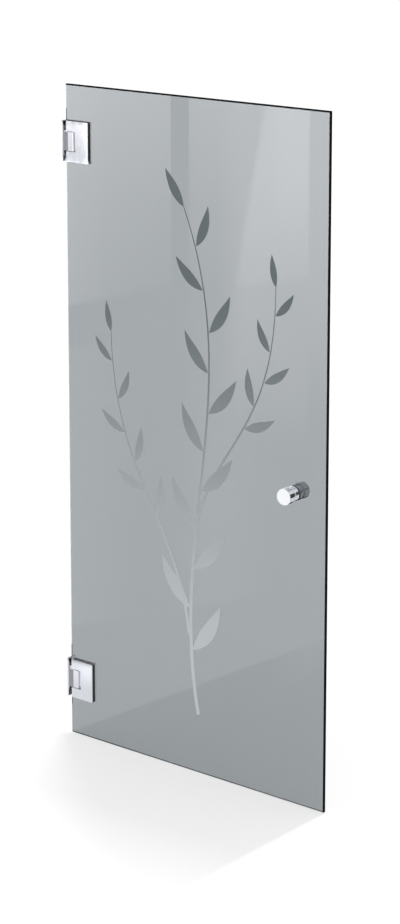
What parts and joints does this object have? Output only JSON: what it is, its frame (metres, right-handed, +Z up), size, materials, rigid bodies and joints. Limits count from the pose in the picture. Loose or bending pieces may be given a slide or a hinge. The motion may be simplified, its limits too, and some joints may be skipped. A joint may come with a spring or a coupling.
{
  "type": "hinged glass door",
  "caption": "Frameless grey glass door on two wall-to-glass clamp hinges, with a round grooved knob on each face.",
  "frame": {"origin": "on the lower wall plate's back face, level with the hinge's centre, in the middle plane of the glass", "axes": "+X from the wall to the door's free edge, +Y to the back of the closed door, +Z up"},
  "size_m": [0.9099, 0.092, 1.9],
  "materials": {
    "glass": "clear grey tinted",
    "chrome": "polished",
    "steel": "ground",
    "nylon": "matt",
    "clear_washer": "translucent",
    "gasket": "matt"
  },
  "bodies": {
    "wall_side": {"lower_wall_plate": "chrome", "lower_knuckle": "chrome", "lower_bushes": "nylon", "upper_wall_plate": "chrome", "upper_knuckle": "chrome", "upper_bushes": "nylon"},
    "door": {"glass_panel": "glass", "knob_front": "chrome", "knob_back": "chrome", "knob_stud": "steel", "knob_sleeve": "nylon", "knob_front_washer": "clear_washer", "knob_back_washer": "clear_washer", "lower_front_cover": "chrome", "lower_back_cover": "chrome", "lower_clamp_body": "steel", "lower_front_gasket": "gasket", "lower_back_gasket": "gasket", "lower_pin": "steel", "lower_clamp_screws": "steel", "upper_front_cover": "chrome", "upper_back_cover": "chrome", "upper_clamp_body": "steel", "upper_front_gasket": "gasket", "upper_back_gasket": "gasket", "upper_pin": "steel", "upper_clamp_screws": "steel"}
  },
  "joints": [
    {"name": "door_swing", "type": "hinge", "parent": "wall_side", "child": "door", "pos_m": [0.02089, 0, 0], "axis": [0, 0, 1], "range_deg": [-85, 85]}
  ]
}
